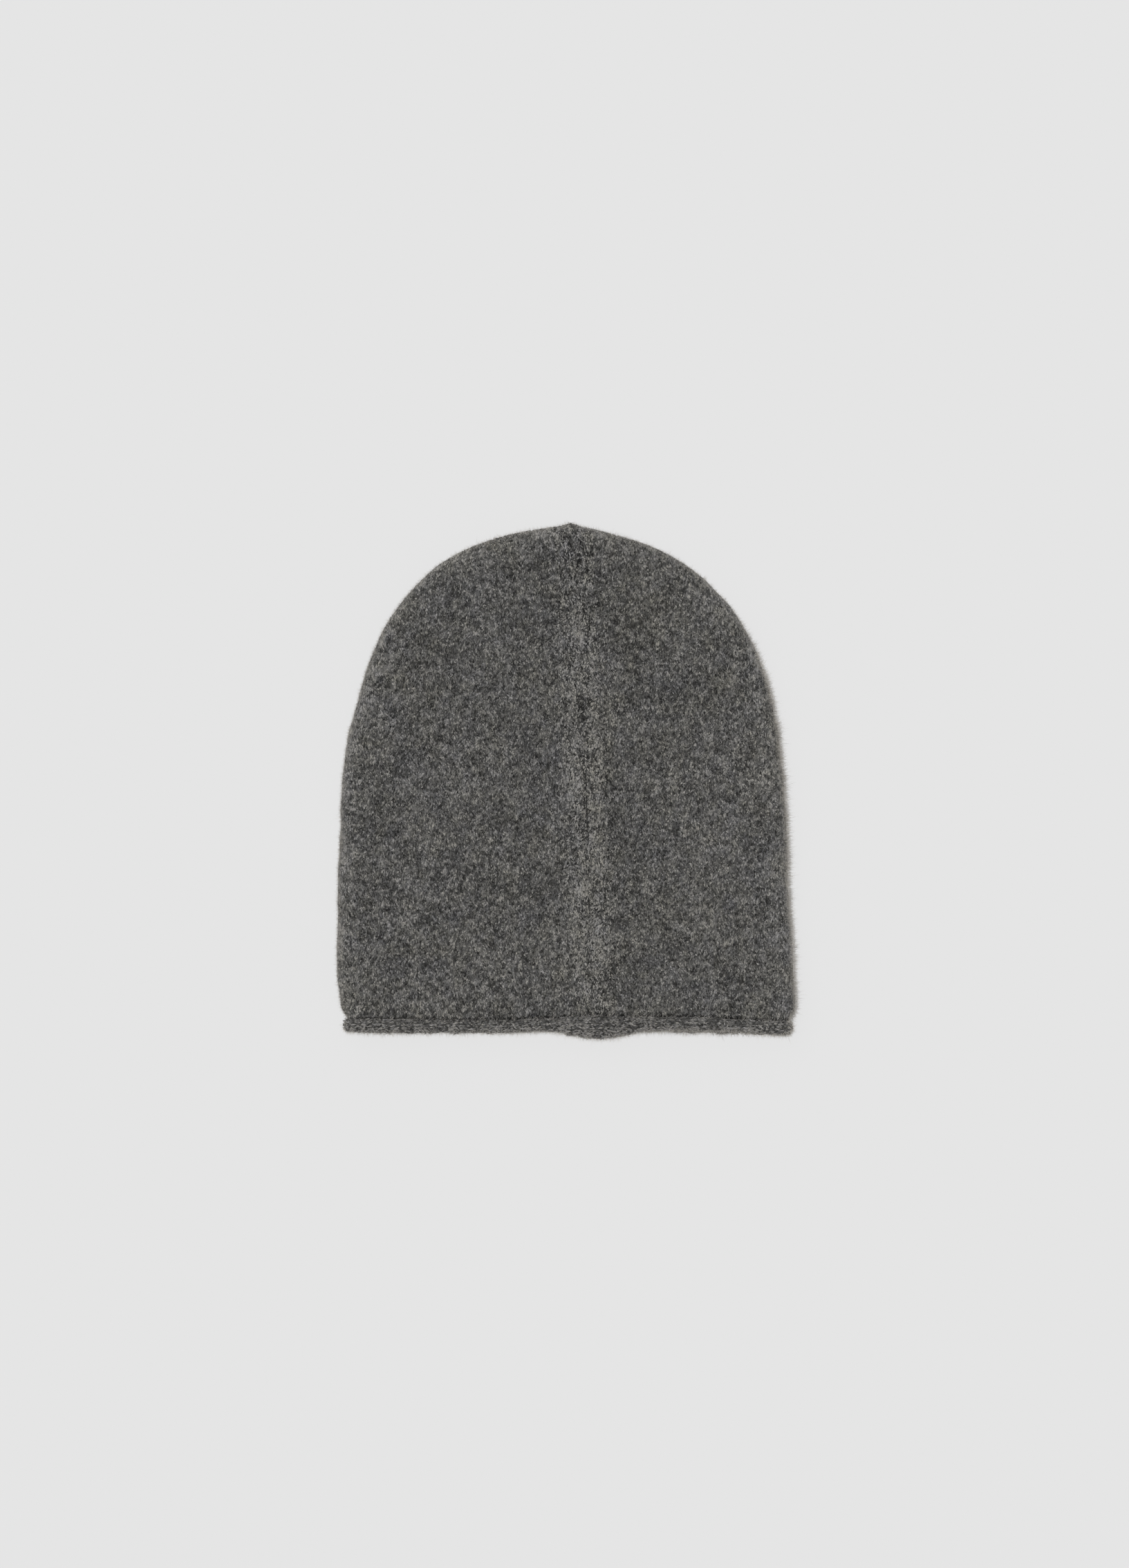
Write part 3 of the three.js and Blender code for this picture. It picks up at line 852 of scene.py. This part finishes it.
# Raised loops in staggered rows, from 0 between them to 1.2 on top. u runs along a row.
def loops_at(u, v):
    row = np.floor(v / LOOP_ALONG).astype(int)
    best = np.zeros(u.shape)
    for near in (-1, 0, 1):
        r = row + near
        shifted = u / LOOP_ACROSS + 0.5 * (r % 2)
        column = np.floor(shifted).astype(int)
        seed = np.sin(r * HASH_ROW + column * HASH_COLUMN) * HASH_SCALE
        first = seed - np.floor(seed)
        second = (first * HASH_SECOND) % 1
        third = (first * HASH_THIRD) % 1
        du = shifted - column - 0.5 + LOOP_JITTER * (first - 0.5)
        dv = v / LOOP_ALONG - r - 0.5 + ROW_JITTER * (second - 0.5)
        dome = np.clip(1 - (du / LOOP_HALF) ** 2 - (dv / ROW_HALF) ** 2, 0, 1) ** LOOP_BLUNT
        bump = (LOOP_LEAST + LOOP_VARIES * third) * dome
        best = np.maximum(best, bump)
    return best


ring, ring_out, ring_layer = mouth_ring()
rise = hem_shift(ring_layer, ring[:, 0], 1)
height = ROLL_HEIGHT + rise + hem_shift(ring_layer, ring[:, 0], 2)
uneven = soft_noise(ring[:, 0], NOISE_ROW * ring_layer, HEM_UNEVEN_LENGTH, 21)
height = height - HEM_FUZZ + HEM_UNEVEN * uneven
sections = [roll_section(h) for h in height]
roll_flat = np.stack([places for places, _ in sections])
roll_facing = np.stack([facing for _, facing in sections])
shown_steps = IN_STEPS + ROUND_STEPS + FLAT_STEPS + CURL_STEPS
ring_steps = np.linalg.norm(np.diff(ring + ROLL_THICKNESS * ring_out, axis=0, append=ring[:1]), axis=1)
ring_run = np.cumsum(ring_steps) - ring_steps
section_steps = np.linalg.norm(np.diff(roll_flat, axis=1, prepend=roll_flat[:, :1]), axis=2)
section_run = np.cumsum(section_steps, 1)
from_edge = section_run[:, shown_steps - 1][:, None] - section_run
run_along = np.broadcast_to(ring_run[:, None], from_edge.shape)
LOOP_SWAY = 0.4 * MM
sway_along = LOOP_SWAY * soft_noise(run_along, from_edge, 3.5 * MM, 22)
sway_across = LOOP_SWAY * soft_noise(run_along, from_edge, 4.5 * MM, 23)
loops = loops_at(run_along + sway_along, from_edge + sway_across)
loops[:, shown_steps:] = PLAIN_HEIGHT
roll_flat = roll_flat + roll_facing * (loops * LOOP_HEIGHT)[..., None]
squeeze = 1 - ROLL_END_SQUEEZE * np.abs(ring_out[:, :1])
roll_rings = ring[:, None] + (squeeze * ring_out)[:, None] * roll_flat[..., 1:]
roll_rings[..., 1] = (ROLL_TOP + rise)[:, None] + roll_flat[..., 0]
roll_rings[..., 2] = np.maximum(roll_rings[..., 2], 0)
# Seen from above the roll's ends are round.
end_x = np.abs(roll_rings[..., 0]).max(1).max()
end_share = np.clip((np.abs(roll_rings[..., 0]) - end_x + ROLL_END_ROUNDING) / ROLL_END_ROUNDING, 0, 1)
roll_middle = (ROLL_TOP + rise - height / 2)[:, None]
rounding = np.maximum(np.sqrt(1 - end_share**2), ROLL_END_LEAST)
roll_rings[..., 1] = roll_middle + (roll_rings[..., 1] - roll_middle) * rounding
MAP_MARGIN = 0.01
roll_points = roll_rings.reshape(-1, 3)
roll_columns = roll_flat.shape[1]
roll_quads = ring_faces(len(ring) + 1, roll_columns) % len(roll_points)
roll_quads = turned_out(roll_points, roll_quads)
roll_maps = np.stack([
    np.broadcast_to((ring_run / ring_run[-1])[:, None], loops.shape),
    np.broadcast_to(np.linspace(0, 1, roll_columns), loops.shape),
], -1).reshape(-1, 2)
hem = make_mesh(
    "rolled_hem_cloth", place_in_frame(roll_points), [roll_quads], [back_cloth], None,
    MAP_MARGIN + (1 - 2 * MAP_MARGIN) * roll_maps, {"height": loops.ravel()},
)
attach(hem, "root")
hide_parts("rolled_hem")


# The welt of turned-in edges inside, a strip with rounded edges.
def make_welt():
    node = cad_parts["seam_welt"]
    mesh = node.data.copy()
    mesh.materials.clear()
    mesh.materials.append(back_cloth)
    mesh.attributes.new("height", "FLOAT", "POINT").data.foreach_set(
        "value", np.full(len(mesh.vertices), WELT_HEIGHT, np.float32)
    )
    piece = bpy.data.objects.new("seam_welt_cloth", mesh)
    bpy.context.scene.collection.objects.link(piece)
    weld = piece.modifiers.new("weld", "WELD")
    weld.merge_threshold = 0.01 * MM
    rounded = piece.modifiers.new("rounded", "SUBSURF")
    rounded.levels = rounded.render_levels = 2
    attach(piece, "root")
    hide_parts("seam_welt")


make_welt()


# Random places on quads, as many per area everywhere or by weight, the way each quad faces and its number.
def scatter(points, quads, count, weight=None):
    a, b, c, d = (points[quads[:, k]] for k in range(4))
    across = np.cross(c - a, d - b)
    size = np.linalg.norm(across, axis=1)
    share = size if weight is None else size * weight
    pick = random.choice(len(quads), count, p=share / share.sum())
    s, t = random.random((2, count, 1))
    low = a[pick] * (1 - s) + b[pick] * s
    high = d[pick] * (1 - s) + c[pick] * s
    return low * (1 - t) + high * t, across[pick] / size[pick, None], pick


def unit(vectors):
    return vectors / np.maximum(np.linalg.norm(vectors, axis=-1, keepdims=True), 1e-12)


LOWEST_FIBRE = 0.05 * MM
ROOT_DEPTH = 0.1 * MM
# The limits of a fibre's shade and tint, and of the map that holds them
SHADE_LIMITS, TINT_LIMITS, MAP_LIMITS = (0.02, 0.97), (0.03, 0.97), (0.001, 0.999)


def add_fibres(name, points, faces, maps, material):
    points[:, 2] = np.maximum(points[:, 2], LOWEST_FIBRE)
    piece = make_mesh(name, place_in_frame(points), faces, [material], None, maps)
    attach(piece, "root")


# Short flat fibres that lie on the cloth, each a bent kite of two triangles.
def lay_short_fibres(
    name, roots, normals, along, length, width, lift, shade, tint, material=fibre_wool, curve=0.12,
):
    count = len(roots)
    across = np.cross(normals, along)
    middle = roots + along * (length * random.uniform(0.35, 0.65, count))[:, None]
    middle = middle + normals * lift[:, None]
    bend = across * (length * random.normal(0, curve, count))[:, None]
    end_lift = lift * random.uniform(-0.2, 1.4, count)
    end = roots + along * length[:, None] + bend + normals * end_lift[:, None]
    start = roots - normals * ROOT_DEPTH
    half = across * (width / 2)[:, None]
    points = np.stack([start, middle - half + bend * 0.3, middle + half + bend * 0.3, end], 1).reshape(-1, 3)
    base = 4 * np.arange(count)[:, None]
    faces = np.concatenate([base + (0, 1, 2), base + (1, 3, 2)])
    # Each fibre is a little darker at its root, painted shade where it enters the cloth, and paler at its
    # end; the spread also gives it some area on the map
    shade = np.clip(shade, *SHADE_LIMITS)[:, None] + np.array([-0.06, 0, 0, 0.02])
    tint = np.clip(tint, *TINT_LIMITS)[:, None] + np.array([0, -0.02, 0.02, 0])
    maps = np.clip(np.stack([shade, tint], -1).reshape(-1, 2), *MAP_LIMITS)
    add_fibres(name, points, [faces], maps, material)


# Long thin fibres that stand off the cloth, each a bent ribbon that narrows to a point.
RIBBON_STEPS = 4
LONG_LIMITS = 0.04, 0.96


def lay_long_fibres(name, roots, start, bend, length, width, shade, tint):
    count = len(roots)
    side = unit(np.cross(start, random.normal(size=(count, 3))))
    t = np.linspace(0, 1, RIBBON_STEPS)[None, :, None]
    line = roots[:, None] + length[:, None, None] * (start[:, None] * t + bend[:, None] * t**2)
    half = side[:, None] * (width[:, None, None] / 2) * (1 - t) ** 0.6
    points = np.concatenate([line - half, (line + half)[:, :-1]], 1)
    per = 2 * RIBBON_STEPS - 1
    base = per * np.arange(count)[:, None]
    k = RIBBON_STEPS - 2
    quads = np.concatenate([base + (i, i + RIBBON_STEPS, i + RIBBON_STEPS + 1, i + 1) for i in range(k)])
    tips = base + (k, k + RIBBON_STEPS, k + 1)
    # Each ribbon is a little darker at its root and paler at its tip, painted shade near the cloth
    spread = np.concatenate([np.linspace(-0.02, 0.02, RIBBON_STEPS)] * 2)[:per]
    shade = np.clip(shade, *LONG_LIMITS)[:, None] + spread
    tint = np.clip(tint, *LONG_LIMITS)[:, None] + np.where(np.arange(per) < RIBBON_STEPS, -0.02, 0.02)
    maps = np.clip(np.stack([shade, tint], -1).reshape(-1, 2), *MAP_LIMITS)
    add_fibres(name, points.reshape(-1, 3), [quads, tips], maps, fibre_wool)


SWIRL_SIZE = 3.5 * MM


# Directions on the cloth: up the wales, turned by soft swirls and at random.
def lie_of(roots, normals, swirl, spread):
    up = unit(np.array([0.0, 1.0, 0.0]) - normals * normals[:, 1:2])
    across = np.cross(normals, up)
    turn = swirl * soft_noise(roots[:, 0], roots[:, 1], SWIRL_SIZE, 71)
    turn = turn + random.normal(0, spread, len(roots))
    return up * np.cos(turn)[:, None] + across * np.sin(turn)[:, None]


upper_quads = outer_faces[(outer_faces[:, 0] % columns) < upper_columns - 1]
lower_quads = outer_faces[(outer_faces[:, 0] % columns) >= upper_columns - 1]
SHORT_PER_PIECE = 99000
UPPER_PIECES = 2
UNDER_COUNT = 16000
SHADE_MIDDLE = 0.558
SHADE_SPREAD = 0.175
SHORT_SWIRL, SHORT_SPREAD = 0.35, 0.38
FLECK_SHARE = 0.02
FLECK_GAIN = 0.16
# How much more the fibres beside the seam vary, and how many more of them are flecks
SEAM_SPREAD, SEAM_FLECKS = 0.8, 0.09


def short_crown_fibres(name, quads, count):
    roots, normals, pick = scatter(crown_points, quads, count)
    along = lie_of(roots, normals, SHORT_SWIRL, SHORT_SPREAD)
    along = along * random.choice((-1, 1), (count, 1))
    length = random.uniform(1.0, 2.1, count) * MM
    middle = roots + along * length[:, None] / 2
    gap, line_way = nearest_dark_line(middle[:, 0], middle[:, 1])
    beside_line = gap < LINE_REACH
    along[beside_line] = line_way[beside_line]
    # The fibres take the cloth's tone, with its painted light near the folds and painted shade at the crease
    tone = tone_at(middle[:, 0], middle[:, 1], crown_edge[quads[pick, 0]])
    shade = SHADE_MIDDLE + TONE_GAIN * tone - TOP_DARKER * topness(roots[:, 1])
    beside_seam = bell(middle[:, 0] - seam_x(middle[:, 1]), SEAM_BAND)
    shade = shade + random.normal(0, SHADE_SPREAD, count) * (1 + SEAM_SPREAD * beside_seam)
    shade = shade + FLECK_GAIN * (random.random(count) < FLECK_SHARE + SEAM_FLECKS * beside_seam)
    # Fibres on the thin lines are dark: painted shade in the slit, crease and groove, and the crossed
    # threads' own colour
    shade[gap < LINE_HALF] = LINE_SHADE
    tint = 0.5 + 0.3 * tint_at(roots[:, 0], roots[:, 1]) + random.normal(0, 0.05, count)
    width = random.uniform(0.34, 0.7, count) * MM
    lift = random.uniform(0.02, 0.4, count) * MM
    lay_short_fibres(name, roots, normals, along, length, width, lift, shade, tint)


for number in range(UPPER_PIECES):
    short_crown_fibres(f"crown_fuzz_{number + 1}", upper_quads, SHORT_PER_PIECE)
short_crown_fibres("crown_fuzz_under", lower_quads, UNDER_COUNT)


# The way each quad faces, from its four corners.
def facing_of(corners):
    return unit(np.cross(corners[:, 2] - corners[:, 0], corners[:, 3] - corners[:, 1]))


# Fine dense fringe along the folds, longer to the right
outer_corners = crown_points[outer_faces]
outer_normals = facing_of(outer_corners)
FRINGE_COUNT = 44000
# How long the fringe is as a share of its drawn length, and how many fibres it has
LEFT_REACH, RIGHT_REACH, TOP_REACH = 0.52, 1.05, 0.6
LEFT_SHARE, RIGHT_SHARE, TOP_SHARE = 1.1, 1.6, 0.6
FRINGE_PALE = 0.44
FRINGE_TANGLE = 0.35


# The fringe stands out from a surface.
def lay_fringe(name, roots, normals, reach, pale):
    count = len(roots)
    along = unit(normals + FRINGE_TANGLE * random.normal(size=(count, 3)))
    facing = unit(np.cross(along, random.normal(size=(count, 3))))
    # The fringe's paleness is partly the fibres' own and partly painted light shining through them
    lay_short_fibres(
        name, roots - ROOT_DEPTH * normals, facing, along,
        reach * random.gamma(6, 0.38, count) * MM, random.uniform(0.035, 0.09, count) * MM,
        random.uniform(-0.15, 0.15, count) * MM,
        random.normal(pale, 0.15, count), random.normal(0.5, 0.15, count), pale_wool,
    )


edge_on = smooth_step((0.85 - np.abs(outer_normals[:, 2])) / 0.35)
right_share = rightness(outer_corners[:, 0, 0])
fringe_share = LEFT_SHARE + (RIGHT_SHARE - LEFT_SHARE) * right_share
edge_on = edge_on * (fringe_share + (TOP_SHARE - fringe_share) * topness(outer_corners[:, 0, 1]))
roots, normals, _ = scatter(crown_points, outer_faces, FRINGE_COUNT, edge_on)
reach = LEFT_REACH + (RIGHT_REACH - LEFT_REACH) * rightness(roots[:, 0])
reach = reach + (TOP_REACH - reach) * topness(roots[:, 1])
lay_fringe("crown_fringe", roots, normals, reach, FRINGE_PALE)

# Single longer fibres over the whole upper layer
STRAY_COUNT = 2500
STRAY_TURN, STRAY_BEND, STRAY_DROOP = 0.8, 0.4, 0.25
roots, normals, _ = scatter(crown_points, upper_quads, STRAY_COUNT)
start = lie_of(roots, normals, STRAY_TURN, STRAY_TURN)
start = unit(start + normals * random.uniform(0.05, 0.4, (STRAY_COUNT, 1)))
bend = STRAY_BEND * random.normal(size=(STRAY_COUNT, 3)) - STRAY_DROOP * normals
lay_long_fibres(
    "crown_strays", roots, start, bend,
    random.uniform(1.5, 4, STRAY_COUNT) * MM, random.uniform(0.06, 0.12, STRAY_COUNT) * MM,
    random.normal(0.68, 0.12, STRAY_COUNT), random.normal(0.5, 0.25, STRAY_COUNT),
)

# Dark short fibres on top of the thin lines: painted shade in the slit, crease and groove, and the crossed
# threads' own dark colour
LINE_FIBRES = 900
LINE_LIFT = 0.45 * MM
line_weight = LINE_DENSITY * np.hypot(LINE_ENDS[:, 2] - LINE_ENDS[:, 0], LINE_ENDS[:, 3] - LINE_ENDS[:, 1])
line = random.choice(len(LINE_ENDS), LINE_FIBRES, p=line_weight / line_weight.sum())
ends = LINE_ENDS[line]
line_share = random.uniform(0, 0.9, LINE_FIBRES)
places = ends[:, :2] + (ends[:, 2:] - ends[:, :2]) * line_share[:, None]
places = places + random.normal(0, 0.04 * MM, (LINE_FIBRES, 2))
roots, _, _ = layer_points(UPPER, places, outline, CLOTH)
roots[:, 2] += LINE_LIFT
along = unit(np.concatenate([ends[:, 2:] - ends[:, :2], np.zeros((LINE_FIBRES, 1))], 1))
lay_short_fibres(
    "shade_and_thread_lines", roots, np.tile([0.0, 0.0, 1.0], (LINE_FIBRES, 1)), along,
    random.uniform(0.6, 1.3, LINE_FIBRES) * MM, random.uniform(0.1, 0.22, LINE_FIBRES) * MM,
    random.uniform(0.05, 0.2, LINE_FIBRES) * MM,
    random.normal(LINE_SHADE, 0.06, LINE_FIBRES), random.normal(0.4, 0.1, LINE_FIBRES), curve=0.03,
)

# Fibres of the roll lie along its loops, the broad paler ones on top as painted light on the loops' crests.
# They are darker along its upper edge, painted shade under the crease, paler along its lower one, painted
# light round that edge, paler to the right, and short at its ends.
UPPER_SHADE_BAND, UPPER_SHADE = 1.5 * MM, 0.2
LOWER_LIGHT_BAND, LOWER_LIGHT = 2.8 * MM, 0.2
HEM_RIGHT = 0.05
END_SHORTER = 0.6
# Mottling of the roll: size, gain and seed
ROLL_MOTTLES = ((1 * MM, 0.18, 80), (2 * MM, 0.16, 81), (5 * MM, 0.1, 82))
shown_quads = roll_quads[(roll_quads.min(1) % roll_columns) < shown_steps - 2]
loop_tops = loops.ravel()[shown_quads].mean(1)
end_shares = end_share.ravel()[shown_quads].mean(1)


def lay_roll_fibres(name, count, weight, long, wide, shade, spread):
    roots, normals, pick = scatter(roll_points, shown_quads, count, weight)
    way = unit(np.cross(normals, (0, 1, 0)) + 1e-6)
    turn = random.normal(0, 0.35, count)[:, None]
    way = way * np.cos(turn) + np.cross(normals, way) * np.sin(turn)
    ring_of = shown_quads[pick].min(1) // roll_columns
    below_top = (ROLL_TOP + rise)[ring_of] - roots[:, 1]
    above_low = roots[:, 1] - (ROLL_TOP + rise - height)[ring_of]
    tone = sum(
        gain * soft_noise(roots[:, 0], roots[:, 1], size, seed)
        for size, gain, seed in ROLL_MOTTLES
    )
    # Painted shade along the roll's upper edge under the crease
    tone = tone - UPPER_SHADE * smooth_step((UPPER_SHADE_BAND - below_top) / MM)
    # Painted light along the roll's lower edge
    tone = tone + LOWER_LIGHT * smooth_step((LOWER_LIGHT_BAND - above_low) / LOWER_LIGHT_BAND)
    tone = tone + HEM_RIGHT * rightness(roots[:, 0])
    lay_short_fibres(
        name, roots, normals, way * random.choice((-1, 1), (count, 1)),
        random.uniform(*long, count) * MM * (1 - END_SHORTER * end_shares[pick]),
        random.uniform(*wide, count) * MM,
        random.uniform(0.02, 0.3, count) * MM,
        shade + tone + random.normal(0, spread, count), random.normal(0.42, 0.15, count),
    )


lay_roll_fibres("hem_fuzz", 9000, 0.15 + loop_tops, (0.8, 1.8), (0.22, 0.42), 0.61, 0.24)
# The broad strokes on the loops' tops are paler: painted light on the crests
lay_roll_fibres("hem_purl", 6500, loop_tops**2, (1.3, 2.2), (0.32, 0.56), 0.82, 0.23)
# The hem's fringe stands on its lower side and its right end, and a little of it elsewhere
ELSEWHERE, LEAST_WEIGHT = 0.05, 0.02
HEM_FRINGE = 21000
HEM_REACH, HEM_PALE = 0.8, 0.52
shown_corners = roll_points[shown_quads]
shown_normals = facing_of(shown_corners)
edge_weight = smooth_step((0.75 - np.abs(shown_normals[:, 2])) / 0.4) * (shown_corners[:, 0, 2] > MM)
low_side, right_end = smooth_step(-shown_normals[:, 1] / 0.4), smooth_step(shown_normals[:, 0] / 0.5)
edge_weight = edge_weight * (ELSEWHERE + low_side + right_end)
roots, normals, _ = scatter(roll_points, shown_quads, HEM_FRINGE, edge_weight + LEAST_WEIGHT)
lay_fringe("hem_fringe", roots, normals, HEM_REACH, HEM_PALE)

# Floor: a pale lit table
FLOOR_SIZE = 6.0
FLOOR_GLOW = 0.738
FLOOR_COLOUR = (0.05, 0.05, 0.05, 1)
floor_nodes = Nodes("pale_table")
floor_nodes.shader.inputs["Base Color"].default_value = FLOOR_COLOUR
floor_nodes.shader.inputs["Roughness"].default_value = 1.0
floor_nodes.shader.inputs["Specular IOR Level"].default_value = 0.0
floor_nodes.shader.inputs["Emission Color"].default_value = (1, 1, 1, 1)
floor_nodes.shader.inputs["Emission Strength"].default_value = FLOOR_GLOW
corner = FLOOR_SIZE / 2
floor = make_mesh(
    "floor", corner * np.array([(-1, -1, 0), (1, -1, 0), (1, 1, 0), (-1, 1, 0)]),
    [np.array([[0, 1, 2, 3]])], [floor_nodes.material],
)

# Light: an even sky, and a broad lamp from the upper left
SKY = 0.62
LAMP = 1.1
LAMP_SPREAD = math.radians(50)
LAMP_FROM = (-0.5, 0.6, 1.15)
world = bpy.data.worlds.new("studio")
world.use_nodes = True
world.node_tree.nodes["Background"].inputs["Color"].default_value = (1, 1, 1, 1)
world.node_tree.nodes["Background"].inputs["Strength"].default_value = SKY
bpy.context.scene.world = world
lamp_data = bpy.data.lights.new("lamp", "SUN")
lamp_data.energy = LAMP
lamp_data.angle = LAMP_SPREAD
lamp = bpy.data.objects.new("lamp", lamp_data)
bpy.context.scene.collection.objects.link(lamp)
lamp.rotation_mode = "QUATERNION"
lamp.rotation_quaternion = Vector(LAMP_FROM).to_track_quat("Z", "Y")

# Camera: straight down. The cap's middle is a little right of the picture's and above it.
PICTURE_WIDTH, PICTURE_HEIGHT = 1633, 2268
CAP_MIDDLE_PX = (819, 1130)
PX_PER_METRE = 3172
LENS_MM, SENSOR_MM = 85, 36
MIDDLE_HEIGHT = 9 * MM
camera_data = bpy.data.cameras.new("camera")
camera_data.lens = LENS_MM
camera_data.sensor_width = SENSOR_MM
camera = bpy.data.objects.new("camera", camera_data)
bpy.context.scene.collection.objects.link(camera)
cad_middle = (cad_low + cad_high) / 2
camera.location = (
    cad_middle.x - (CAP_MIDDLE_PX[0] - PICTURE_WIDTH / 2) / PX_PER_METRE,
    cad_middle.y + (CAP_MIDDLE_PX[1] - PICTURE_HEIGHT / 2) / PX_PER_METRE,
    MIDDLE_HEIGHT + PICTURE_HEIGHT / PX_PER_METRE * LENS_MM / SENSOR_MM,
)
bpy.context.scene.camera = camera
bpy.context.scene.view_settings.view_transform = "Standard"
bpy.context.scene.view_settings.look = "None"
